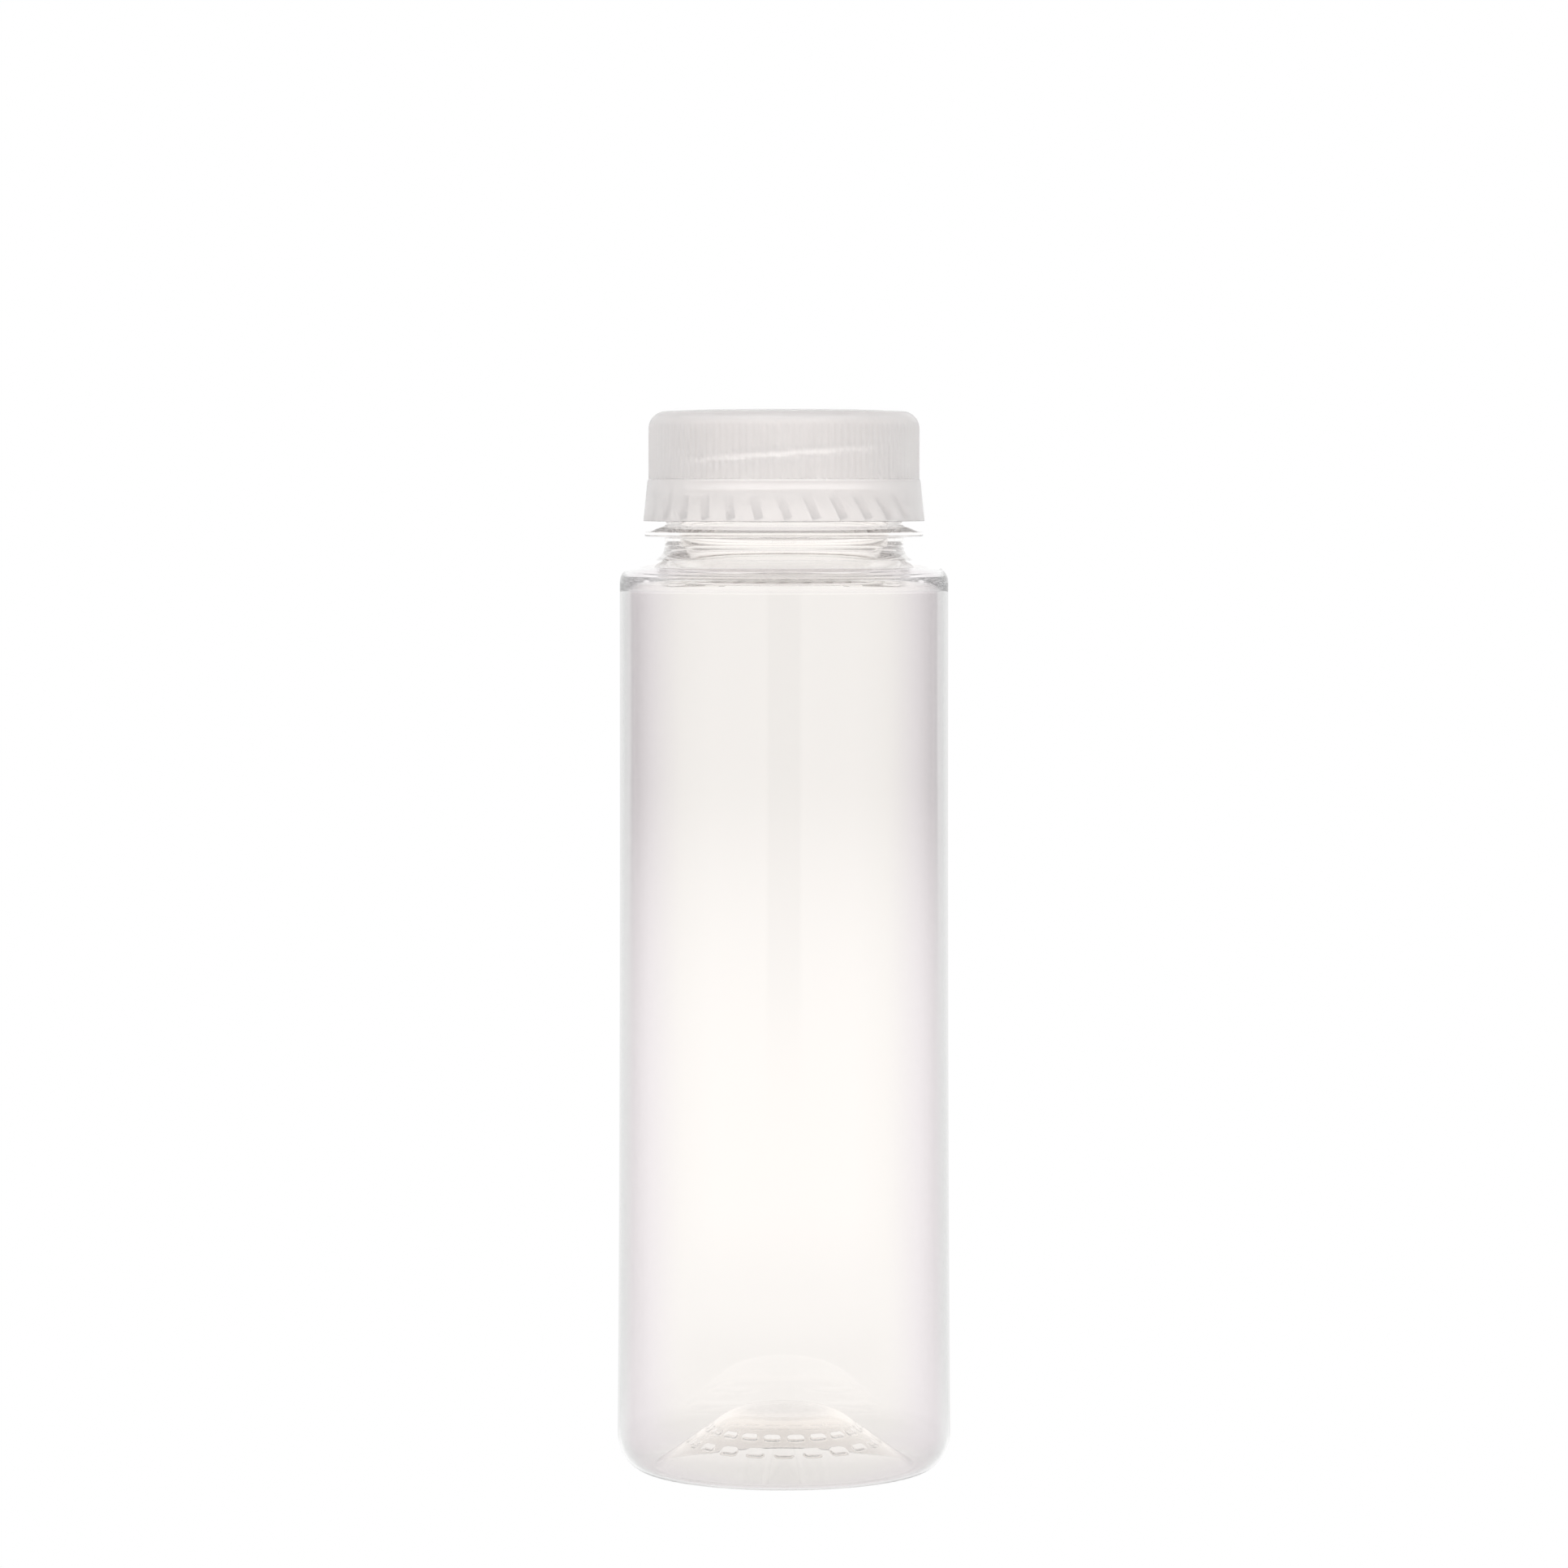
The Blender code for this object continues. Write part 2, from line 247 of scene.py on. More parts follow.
def rounded(corners):
    """Turn corners (radius, height, fillet) into points, each fillet as an arc."""
    points = []
    for index, (r, z, fillet) in enumerate(corners):
        corner = Vector((r, z))
        if fillet == 0.0:
            points.append(corner)
            continue
        to_last = (Vector(corners[index - 1][:2]) - corner).normalized()
        to_next = (Vector(corners[index + 1][:2]) - corner).normalized()
        half = to_last.angle(to_next) / 2
        centre = corner + (to_last + to_next).normalized() * fillet / math.sin(half)
        start = corner + to_last * fillet / math.tan(half) - centre
        turn = start.angle_signed(corner + to_next * fillet / math.tan(half) - centre)
        steps = max(3, round(abs(turn) / FILLET_STEP))
        for step in range(steps + 1):
            points.append(centre + Matrix.Rotation(-turn * step / steps, 2) @ start)
    return points


def divided(points, longest):
    """Add points so that no stretch of an outline is longer than the given length."""
    fine = [points[0]]
    for point in points[1:]:
        steps = max(1, math.ceil((point - fine[-1]).length / longest))
        start = fine[-1]
        fine += [start.lerp(point, step / steps) for step in range(1, steps + 1)]
    return fine


def thread_height(angle, z, thread):
    """How far a helical ridge stands out of a wall at an angle and a height."""
    height = 0.0
    half_sweep = math.radians(thread["sweep"]) / 2
    for start in range(THREAD_STARTS):
        turned = angle - FRONT_ANGLE - math.tau * start / THREAD_STARTS
        turned = (turned + math.pi) % math.tau - math.pi
        run_in = smooth(0.0, THREAD_RUN_OUT, half_sweep - abs(turned))
        away = abs(z - thread["middle"] - THREAD_LEAD * turned / math.tau)
        ridge = 1 - smooth(THREAD_FLAT_SHARE, 1.0, away / (thread["width"] / 2))
        height = max(height, run_in * ridge)
    return height * thread["height"]


def body_radius(z):
    """The straight body widens very slightly towards its foot."""
    along = max(0.0, (SHOULDER_EDGE_Z - z) / (SHOULDER_EDGE_Z - HEEL_HEIGHT))
    return BODY_TOP_RADIUS + (BODY_LOW_RADIUS - BODY_TOP_RADIUS) * along ** BODY_FLARE_POWER


def crown_z(r):
    """Height of the base's rounded crown, which meets the straight flank without a crease."""
    edge_r, edge_z = CROWN_EDGE
    flank_slope = edge_z / (STANDING_RING_INNER - edge_r)
    rise = CROWN_HEIGHT - edge_z
    share = r / edge_r
    fullness = 1 - flank_slope * edge_r / (2 * rise)
    return CROWN_HEIGHT - rise * share ** 2 * (1 + (1 - share ** 2) * fullness)


def blown_outline(base_step):
    """Outer outline of the blown part, from under the ledge to the base's middle.

    A ring just under the shoulder's fillet and one where the wall turns even keep the shading
    of the long faces below them straight.
    """
    points = rounded([
        (LEDGE_RADIUS, LEDGE_TIP_LOW_Z, 0.0),
        (NECK_RADIUS, LEDGE_LOW_ROOT_Z, LEDGE_FILLET),
        (NECK_RADIUS, NECK_FOOT_Z, NECK_FOOT_FILLET),
        (BODY_TOP_RADIUS, SHOULDER_EDGE_Z, SHOULDER_FILLET),
        (BODY_TOP_RADIUS, HEEL_HEIGHT, 0.0),
    ])[1:-1]
    even_z = WALL_BY_HEIGHT[1][0]
    heights = [points[-1].y - CLOSE_RING]
    for step in range(BODY_STEPS):
        heights.append(even_z + (HEEL_HEIGHT - even_z) * (step / BODY_STEPS) ** BODY_STEP_POWER)
    points += [Vector((body_radius(z), z)) for z in heights]
    for step in range(HEEL_STEPS + 1):
        angle = math.pi / 2 * step / HEEL_STEPS
        r = BODY_LOW_RADIUS - HEEL_WIDTH * (1 - math.cos(angle))
        points.append(Vector((r, HEEL_HEIGHT * (1 - math.sin(angle)))))
    base = rounded([
        (BODY_LOW_RADIUS - HEEL_WIDTH, 0.0, 0.0),
        (STANDING_RING_INNER, 0.0, STANDING_RING_FILLET),
        (*CROWN_EDGE, 0.0),
    ])
    base = divided(base, base_step)
    for step in range(1, CROWN_STEPS + 1):
        r = CROWN_EDGE[0] * (1 - step / CROWN_STEPS)
        base.append(Vector((r, crown_z(r))))
    return points + base[1:]


def wall_at(point):
    """Thickness of the blown wall at a point of its outer outline."""
    if point.y > 2 * HEEL_HEIGHT:
        return between(WALL_BY_HEIGHT, point.y)
    return between(WALL_BY_RADIUS, point.x)


def offset_inwards(points):
    """Move an outline that runs top to bottom into the bottle by its wall thickness."""
    moved = []
    for index, point in enumerate(points):
        before = points[max(index - 1, 0)]
        after = points[min(index + 1, len(points) - 1)]
        along = (after - before).normalized()
        inwards = Vector((along.y, -along.x))
        if point.x == 0.0:
            inwards = Vector((0.0, 1.0))
        moved.append(point + inwards * wall_at(point))
    return moved


def turned_rings(shape, outline, sides, relief):
    """Spin an outline about Z into a shape; relief moves a point by its angle and place."""
    rings = []
    for index, point in enumerate(outline):
        if point.x < ON_AXIS:
            rings.append([shape.verts.new((0.0, 0.0, point.y * MM))])
            continue
        ring = []
        for side in range(sides):
            angle = math.tau * side / sides
            r, z = relief(angle, point.x, point.y, index)
            place = (r * math.cos(angle), r * math.sin(angle), z)
            ring.append(shape.verts.new([value * MM for value in place]))
        rings.append(ring)
    for upper, lower in zip(rings, rings[1:]):
        for side in range(sides):
            after = (side + 1) % sides
            if len(upper) == 1:
                corners = (upper[0], lower[side], lower[after])
            elif len(lower) == 1:
                corners = (upper[after], upper[side], lower[0])
            else:
                corners = (upper[after], upper[side], lower[side], lower[after])
            shape.faces.new(corners)
    return rings


def finished(name, shape, material, node):
    """Make a piece of a closed shape: smooth, facing out, riding on the part."""
    bmesh.ops.recalc_face_normals(shape, faces=shape.faces)
    mesh = bpy.data.meshes.new(name)
    shape.to_mesh(mesh)
    shape.free()
    mesh.shade_smooth()
    mesh.set_sharp_from_angle(angle=SHARP_ANGLE)
    mesh.materials.append(material)
    piece = bpy.data.objects.new(name, mesh)
    bpy.context.scene.collection.objects.link(piece)
    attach(piece, "root")
    if node:
        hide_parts(node)
    return piece


def shell_outline():
    """Section of the shell: up the inside, over the lip and down to the base's middle."""
    blown = blown_outline(MARK_STEP)
    flare_z = LEDGE_LOW_ROOT_Z - BORE_FLARE_DEPTH
    inside = [p for p in offset_inwards(blown_outline(PLAIN_STEP)) if p.y < flare_z]
    bore = rounded([
        (BORE_RADIUS, LEDGE_TIP_TOP_Z, 0.0),
        (BORE_RADIUS, LIP_Z, LIP_FILLET),
        (FINISH_RADIUS, LIP_Z, LIP_FILLET),
        (FINISH_RADIUS, BEAD_TOP_Z + BEAD_SLOPE, 0.0),
    ])
    finish = rounded([
        (FINISH_RADIUS, LIP_Z, 0.0),
        (FINISH_RADIUS, BEAD_TOP_Z + BEAD_SLOPE, BEAD_TOP_ROOT_FILLET),
        (BEAD_RADIUS, BEAD_TOP_Z, BEAD_FILLET),
        (BEAD_RADIUS, BEAD_LOW_Z, BEAD_FILLET),
        (FINISH_FOOT_RADIUS, BEAD_LOW_Z - FINISH_TAPER, BEAD_LOW_ROOT_FILLET),
        (NECK_RADIUS - FINISH_TAPER, LEDGE_TOP_ROOT_Z, LEDGE_TOP_ROOT_FILLET),
        (LEDGE_RADIUS, LEDGE_TIP_TOP_Z, LEDGE_FILLET),
        (LEDGE_RADIUS, LEDGE_TIP_LOW_Z, LEDGE_FILLET),
        (NECK_RADIUS, LEDGE_LOW_ROOT_Z, 0.0),
    ])[1:-1]
    thread_zone = divided([bore[-2], finish[0]], THREAD_STEP)
    return inside[::-1] + bore[:-2] + thread_zone + finish[1:] + blown


def base_mark(angle, r, count):
    """1 on a raised mark of the base, 0 beside it: short dashes in two staggered rings."""
    slot = math.tau / count
    height = 0.0
    for ring, ring_radius in enumerate(MARK_RADII):
        turned = (angle + ring * slot / 2) % slot - slot / 2
        along = max(0.0, abs(turned) * ring_radius - (MARK_LENGTH - MARK_WIDTH) / 2)
        away = math.hypot(along, r - ring_radius) / (MARK_WIDTH / 2)
        height = max(height, 1 - smooth(*MARK_SLOPE, away))
    return height


def shell_relief(outline, sizes):
    """The thread on the finish, the raised marks under the base and a faint waviness."""
    top = max(range(len(outline)), key=lambda index: outline[index].y)
    mark_count, mark_height = sizes.mark_count, sizes.mark_height / MM

    def relief(angle, r, z, index):
        outside = index > top
        if outside and BEAD_TOP_Z < z < LIP_Z - LIP_FILLET:
            return r + thread_height(angle, z, BOTTLE_THREAD), z
        if outside and r < STANDING_RING_INNER - MARK_MARGIN and z < CROWN_HEIGHT + MARK_MARGIN:
            return r, z - mark_height * base_mark(angle, r, mark_count)
        if not outside and WAVES_FROM_Z < z < WAVES_TO_Z:
            place = Vector((math.cos(angle) * WAVES_ROUND, math.sin(angle) * WAVES_ROUND,
                            z * WAVES_PER_MM))
            return r + WAVE_DEPTH * noise.noise(place), z
        return r, z
    return relief


def cap_outline():
    """Section of the cap in three runs: down its outside, round the band, and up its inside."""
    outer = rounded([
        (0.0, TOTAL_HEIGHT, 0.0),
        (CAP_RADIUS * CAP_CROWN_SHARE, TOTAL_HEIGHT, CAP_CROWN_FILLET),
        (CAP_RADIUS, TOTAL_HEIGHT - CAP_CROWN_DROP, CAP_EDGE_FILLET),
        (CAP_RADIUS, SLIT_Z + SLIT_HEIGHT / 2, 0.0),
    ])
    band = rounded([
        (CAP_RADIUS, SLIT_Z - SLIT_HEIGHT / 2, 0.0),
        (BAND_TOP_RADIUS, BAND_TOP_Z, BAND_TOP_FILLET),
        (BAND_LOW_RADIUS, BAND_LOW_Z, BAND_LOW_FILLET),
        (BAND_LOW_RADIUS - BAND_WALL, BAND_LOW_Z, BAND_LOW_FILLET),
        (CAP_RADIUS - CAP_WALL, SLIT_Z - SLIT_HEIGHT / 2, 0.0),
    ])
    inner = rounded([
        (CAP_RADIUS - CAP_WALL, SLIT_Z + SLIT_HEIGHT / 2, 0.0),
        (CAP_RADIUS - CAP_WALL, TOTAL_HEIGHT - CAP_TOP_WALL, CAP_INNER_FILLET),
        (0.0, TOTAL_HEIGHT - CAP_TOP_WALL, 0.0),
    ])
    outer = outer[:-2] + divided(outer[-2:], SKIRT_STEP)
    inner = divided(inner[:2], THREAD_STEP) + inner[2:]
    return outer, divided(band, BAND_STEP), inner


def cap_relief(sizes):
    """Ribs round the skirt and a two-start thread inside it."""
    rib_count, rib_depth = sizes.rib_count, sizes.rib_depth / MM
    middle = CAP_RADIUS - CAP_WALL / 2

    def relief(angle, r, z, index):
        if r > middle and RIB_LOW_Z - RIB_FADE < z < RIB_TOP_Z:
            fade = smooth(RIB_LOW_Z - RIB_FADE, RIB_LOW_Z, z)
            fade *= 1 - smooth(RIB_TOP_Z - 2 * RIB_FADE, RIB_TOP_Z, z)
            wave = 0.5 - 0.5 * math.cos(angle * rib_count)
            return r - rib_depth * wave * fade, z
        if r < middle and CAP_THREAD_FROM_Z < z < TOTAL_HEIGHT - CAP_TOP_WALL:
            return r + thread_height(angle, z, CAP_THREAD), z
        return r, z
    return relief


def bridge_slit(shape, skirt, band, sides):
    """Join skirt and band at the bridges and wall off the slit between them.

    skirt and band are each a pair of rings, the outer one first.
    """
    slot = math.tau / BRIDGE_COUNT
    bridged = []
    for side in range(sides):
        place = (math.tau * (side + 0.5) / sides) % slot
        bridged.append(abs(place - slot / 2) < BRIDGE_ANGLE / 2)
    for side in range(sides):
        after = (side + 1) % sides
        (skirt_out, skirt_in), (band_out, band_in) = skirt, band
        if bridged[side]:
            shape.faces.new((skirt_out[after], skirt_out[side], band_out[side], band_out[after]))
            shape.faces.new((skirt_in[side], skirt_in[after], band_in[after], band_in[side]))
        else:
            shape.faces.new((skirt_out[side], skirt_out[after], skirt_in[after], skirt_in[side]))
            shape.faces.new((band_out[after], band_out[side], band_in[side], band_in[after]))
        if bridged[side] != bridged[side - 1]:
            shape.faces.new((skirt_out[side], skirt_in[side], band_in[side], band_out[side]))


def add_flaps(shape):
    """Rounded tabs that fold up and in from the band's foot."""
    lean = Matrix.Rotation(FLAP_LEAN, 4, "Y") @ Matrix.Rotation(FLAP_SLANT, 4, "X")
    place = Matrix.Translation((FLAP_CENTRE_RADIUS * MM, 0.0, FLAP_CENTRE_Z * MM)) @ lean
    scale = Matrix.Diagonal((*[side * MM for side in FLAP_SIZE], 1.0))
    for index in range(FLAP_COUNT):
        turn = Matrix.Rotation(math.tau * (index + 0.5) / FLAP_COUNT, 4, "Z")
        made = bmesh.ops.create_cube(shape, size=1.0, matrix=turn @ place @ scale)
        edges = {edge for vert in made["verts"] for edge in vert.link_edges}
        bmesh.ops.bevel(shape, geom=list(edges), offset=FLAP_BEVEL * MM, segments=2,
                        affect="EDGES", profile=0.5)


def add_node(tree, kind, inputs=None, **settings):
    """Add a node with its settings; an input is a value or the socket that feeds it."""
    node = tree.nodes.new(kind)
    for name, value in settings.items():
        setattr(node, name, value)
    for socket, value in (inputs or {}).items():
        if isinstance(value, bpy.types.NodeSocket):
            tree.links.new(value, node.inputs[socket])
        else:
            node.inputs[socket].default_value = value
    return node


def new_material(name):
    """A material with an empty node tree, and that tree."""
    material = bpy.data.materials.new(name)
    material.use_nodes = True
    tree = material.node_tree
    tree.nodes.clear()
    return material, tree


def ramp_node(tree, factor, stops):
    """A colour ramp from (place, linear colour) stops."""
    ramp = add_node(tree, "ShaderNodeValToRGB", {"Fac": factor})
    elements = ramp.color_ramp.elements
    while len(elements) > 1:
        elements.remove(elements[-1])
    elements[0].position, elements[0].color = stops[0]
    for place, colour in stops[1:]:
        elements.new(place).color = colour
    return ramp


def blown_pet(look):
    """Clear PET, blown: glossy and thin, with painted shade that greys the wall where the eye meets
    it aslant.

    Neck and base are thick and not stretched and get none of that painted edge shade; further
    painted shade darkens the heel and base towards the bottom and the middle of the base's crown.
    """
    material, tree = new_material("blown_clear_pet")
    place = add_node(tree, "ShaderNodeTexCoord").outputs["Object"]
    height = add_node(tree, "ShaderNodeSeparateXYZ", {0: place}).outputs["Z"]
    level_place = add_node(tree, "ShaderNodeVectorMath", {
        0: place, 1: (1.0, 1.0, 0.0)}, operation="MULTIPLY").outputs["Vector"]
    radius = add_node(tree, "ShaderNodeVectorMath", {0: level_place}, operation="LENGTH")
    # Mask of the thick neck and base, where the painted edge shade is left off
    thick = add_node(tree, "ShaderNodeMapRange", {
        "Value": radius.outputs["Value"],
        "From Min": STRETCHED_RADIUS * MM, "From Max": THICK_RADIUS * MM},
        interpolation_type="SMOOTHSTEP")
    slant = add_node(tree, "ShaderNodeLayerWeight", {"Blend": 0.5})
    # Painted edge shade: places on the ramp run from 0, seen face on, to 1, seen edge on
    tint = ramp_node(tree, slant.outputs["Facing"], (
        (0.1, look.pet_facing),
        (0.22, look.pet_shade_turned),
        (0.42, look.pet_shade_slanting),
        (0.61, look.pet_shade_edge),
        (0.78, look.pet_shade_rim),
    ))
    # Painted shade that darkens the heel and base towards the bottom
    foot = add_node(tree, "ShaderNodeMapRange", {
        "Value": height, "From Min": BASE_SHADE_TOP * MM, "From Max": BASE_SHADE_FULL * MM},
        interpolation_type="SMOOTHSTEP")
    # Painted edge shade on the stretched wall, and the face-on tint alone on neck and base
    clear = add_node(tree, "ShaderNodeMix", {
        0: thick.outputs["Result"], 6: tint.outputs["Color"], 7: look.pet_facing},
        data_type="RGBA")
    greyed = add_node(tree, "ShaderNodeMix", {
        0: foot.outputs["Result"], 6: clear.outputs[2], 7: look.pet_base_shade},
        data_type="RGBA", blend_type="MULTIPLY")
    # Painted shade that darkens the middle of the base's crown
    from_crown_shade = add_node(tree, "ShaderNodeVectorMath", {
        0: place, 1: (0.0, 0.0, CROWN_SHADE_Z * MM)}, operation="DISTANCE")
    crown_shade = add_node(tree, "ShaderNodeMapRange", {
        "Value": from_crown_shade.outputs["Value"], "From Min": CROWN_SHADE_REACH[1] * MM,
        "From Max": CROWN_SHADE_REACH[0] * MM}, interpolation_type="SMOOTHSTEP")
    crown_shaded = add_node(tree, "ShaderNodeMix", {
        0: crown_shade.outputs["Result"], 6: greyed.outputs[2], 7: look.pet_crown_shade},
        data_type="RGBA", blend_type="MULTIPLY")
    shader = add_node(tree, "ShaderNodeBsdfPrincipled", {
        "Base Color": crown_shaded.outputs[2],
        "Roughness": 0.01,
        "IOR": 1.575,
        "Transmission Weight": 1.0,
    })
    add_node(tree, "ShaderNodeOutputMaterial", {"Surface": shader.outputs["BSDF"]})
    return material


def moulded_polypropylene(look):
    """Natural polypropylene, moulded: milky, satin, and half clear in a thin wall."""
    material, tree = new_material("moulded_natural_polypropylene")
    place = add_node(tree, "ShaderNodeTexCoord")
    cloud_size_mm = 6.0
    cloud = add_node(tree, "ShaderNodeTexNoise", {
        "Vector": place.outputs["Object"], "Scale": 1 / (cloud_size_mm * MM), "Detail": 2.0})
    tint = ramp_node(tree, cloud.outputs["Fac"], (
        (0.3, look.cap_thin), (0.7, look.cap_thick)))
    # The mould's grain is finer on the real cap; this is as fine as a render can show
    grain_size_mm = 0.25
    grain = add_node(tree, "ShaderNodeTexNoise", {
        "Vector": place.outputs["Object"], "Scale": 1 / (grain_size_mm * MM)})
    bump = add_node(tree, "ShaderNodeBump", {
        "Height": grain.outputs["Fac"], "Strength": 0.08, "Distance": 0.02 * MM})
    shader = add_node(tree, "ShaderNodeBsdfPrincipled", {
        "Base Color": tint.outputs["Color"],
        "Roughness": 0.3,
        "IOR": 1.49,
        "Transmission Weight": 0.72,
        "Normal": bump.outputs["Normal"],
    })
    add_node(tree, "ShaderNodeOutputMaterial", {"Surface": shader.outputs["BSDF"]})
    return material


def seen_through(tree):
    """1 where no clear wall has mirrored the ray, so that only reflections see the room."""
    path = add_node(tree, "ShaderNodeLightPath")
    return add_node(tree, "ShaderNodeMath", {
        0: path.outputs["Glossy Depth"], 1: 0.5}, operation="LESS_THAN").outputs["Value"]


def front_gap(tree, x, y, look):
    """1 in the dim gap between the two front softboxes, as the bottle sees it."""
    aside = add_node(tree, "ShaderNodeMath", {0: x}, operation="ABSOLUTE")
    window = add_node(tree, "ShaderNodeMapRange", {
        "Value": aside.outputs["Value"],
        "From Min": look.gap_half_width * GAP_EDGE[0],
        "From Max": look.gap_half_width * GAP_EDGE[1],
        "To Min": 1.0, "To Max": 0.0}, interpolation_type="SMOOTHSTEP")
    ahead = add_node(tree, "ShaderNodeMath", {0: y, 1: 0.0}, operation="LESS_THAN")
    return add_node(tree, "ShaderNodeMath", {
        0: window.outputs["Result"], 1: ahead.outputs["Value"]},
        operation="MULTIPLY").outputs["Value"]


def white_or(tree, level):
    """White where it is seen through, and the given level where it is mirrored."""
    return add_node(tree, "ShaderNodeMix", {
        0: seen_through(tree), 2: level, 3: 1.0}, data_type="FLOAT").outputs["Result"]


def room_level(tree, y, look):
    """Level of the room's walls by how far a level direction points back: y from -1 to 1."""
    forward = add_node(tree, "ShaderNodeMapRange", {"Value": y, "From Min": -1.0, "From Max": 1.0})
    grey = {name: (level, level, level, 1.0) for name, level in (
        ("front", look.room_front), ("side", look.room_side), ("panel", look.room_panel))}
    panel_edge = (1 + math.cos(look.panel_half_angle)) / 2
    return ramp_node(tree, forward.outputs["Result"], (
        (0.0, grey["front"]), (ROOM_TURN[0], grey["front"]), (ROOM_TURN[1], grey["side"]),
        (panel_edge - PANEL_FADE, grey["side"]), (panel_edge, grey["panel"]))).outputs["Color"]


def table_glow(look):
    """Glowing table, painted light: in reflections brightest in front and dimmer far off, with a
    painted shadow close round the foot and white again right at it.
    """
    material, tree = new_material("glowing_table_painted_light")
    material.cycles.emission_sampling = "NONE"
    place = add_node(tree, "ShaderNodeTexCoord").outputs["Object"]
    reach = add_node(tree, "ShaderNodeVectorMath", {0: place}, operation="LENGTH").outputs["Value"]
    direction = add_node(tree, "ShaderNodeVectorMath", {0: place}, operation="NORMALIZE")
    split = add_node(tree, "ShaderNodeSeparateXYZ", {0: direction.outputs["Vector"]})
    # Painted shadow of the foot on the glowing table
    shade = add_node(tree, "ShaderNodeMapRange", {
        "Value": reach, "From Min": look.shade_inner, "From Max": look.shade_outer,
        "To Min": look.shade_level, "To Max": look.table_front}, interpolation_type="SMOOTHSTEP")
    # Painted light: the table turns white again right round the foot
    contact = add_node(tree, "ShaderNodeMapRange", {
        "Value": reach, "From Min": look.contact_inner, "From Max": look.shade_inner,
        "To Min": 1.0, "To Max": 0.0}, interpolation_type="SMOOTHSTEP")
    front = add_node(tree, "ShaderNodeMix", {
        0: contact.outputs["Result"], 2: shade.outputs["Result"], 3: 1.0}, data_type="FLOAT")
    beside = add_node(tree, "ShaderNodeMapRange", {
        "Value": split.outputs["Y"],
        "From Min": TABLE_BACK_EDGE[0], "From Max": TABLE_BACK_EDGE[1],
        "To Min": look.table_back, "To Max": look.table_side}, interpolation_type="SMOOTHSTEP")
    ahead = add_node(tree, "ShaderNodeMapRange", {
        "Value": split.outputs["Y"],
        "From Min": TABLE_FRONT_EDGE[0], "From Max": TABLE_FRONT_EDGE[1]},
        interpolation_type="SMOOTHSTEP")
    near = add_node(tree, "ShaderNodeMix", {
        0: ahead.outputs["Result"], 2: beside.outputs["Result"], 3: front.outputs["Result"]},
        data_type="FLOAT")
    fade = add_node(tree, "ShaderNodeMapRange", {
        "Value": reach, "From Min": look.table_bright, "From Max": look.table_reach},
        interpolation_type="SMOOTHSTEP")
    level = add_node(tree, "ShaderNodeMix", {
        0: fade.outputs["Result"], 2: near.outputs["Result"],
        3: room_level(tree, split.outputs["Y"], look)}, data_type="FLOAT")
    gap = front_gap(tree, split.outputs["X"], split.outputs["Y"], look)
    away = add_node(tree, "ShaderNodeMapRange", {
        "Value": reach, "From Min": look.table_bright, "From Max": 2 * look.table_bright,
        "To Min": 0.0, "To Max": look.gap_depth}, interpolation_type="SMOOTHSTEP")
    dark = add_node(tree, "ShaderNodeMath", {0: gap, 1: away.outputs["Result"]},
                    operation="MULTIPLY")
    mirrored = add_node(tree, "ShaderNodeMath", {
        0: level.outputs["Result"], 1: dark.outputs["Value"]}, operation="SUBTRACT")
    glow = add_node(tree, "ShaderNodeEmission", {
        "Strength": white_or(tree, mirrored.outputs["Value"])})
    add_node(tree, "ShaderNodeOutputMaterial", {"Surface": glow.outputs["Emission"]})
    return material


def studio_world(look):
    """Pure white behind the bottle; what its walls mirror is a softly lit, dimmer room."""
    world = bpy.data.worlds.new("pale_studio")
    bpy.context.scene.world = world
    world.use_nodes = True
    world.cycles.sampling_method = "NONE"
    tree = world.node_tree
    tree.nodes.clear()
    place = add_node(tree, "ShaderNodeTexCoord").outputs["Generated"]
    split = add_node(tree, "ShaderNodeSeparateXYZ", {0: place})
    above = add_node(tree, "ShaderNodeMapRange", {
        "Value": split.outputs["Z"],
        "From Min": CEILING_EDGE[0], "From Max": CEILING_EDGE[1]},
        interpolation_type="SMOOTHSTEP")
    level = add_node(tree, "ShaderNodeMix", {
        0: above.outputs["Result"], 2: room_level(tree, split.outputs["Y"], look),
        3: look.room_ceiling}, data_type="FLOAT")
    gap = front_gap(tree, split.outputs["X"], split.outputs["Y"], look)
    dark = add_node(tree, "ShaderNodeMath", {0: gap, 1: look.gap_depth}, operation="MULTIPLY")
    mirrored = add_node(tree, "ShaderNodeMath", {
        0: level.outputs["Result"], 1: dark.outputs["Value"]}, operation="SUBTRACT")
    back = add_node(tree, "ShaderNodeBackground", {
        "Color": (1.0, 1.0, 1.0, 1.0), "Strength": white_or(tree, mirrored.outputs["Value"])})
    add_node(tree, "ShaderNodeOutputWorld", {"Surface": back.outputs["Background"]})


def flat_disc(name, radius, height, material):
    """A level disc of the stage."""
    mesh = bpy.data.meshes.new(name)
    disc = bmesh.new()
    bmesh.ops.create_circle(disc, cap_ends=True, segments=FLOOR_SIDES, radius=radius)
    disc.to_mesh(mesh)
    disc.free()
    mesh.materials.append(material)
    thing = bpy.data.objects.new(name, mesh)
    thing.location.z = height
    bpy.context.scene.collection.objects.link(thing)


def softbox(name, place, target, size, power):
    """A rectangular soft light at a place, turned to a target."""
    light = bpy.data.lights.new(name, "AREA")
    light.shape = "RECTANGLE"
    light.size, light.size_y = size
    light.energy = power
    lamp = bpy.data.objects.new(name, light)
    lamp.location = place
    lamp.rotation_euler = (Vector(target) - Vector(place)).to_track_quat("-Z", "Y").to_euler()
    lamp.visible_camera = False
    lamp.visible_glossy = False
    lamp.visible_transmission = False
    bpy.context.scene.collection.objects.link(lamp)


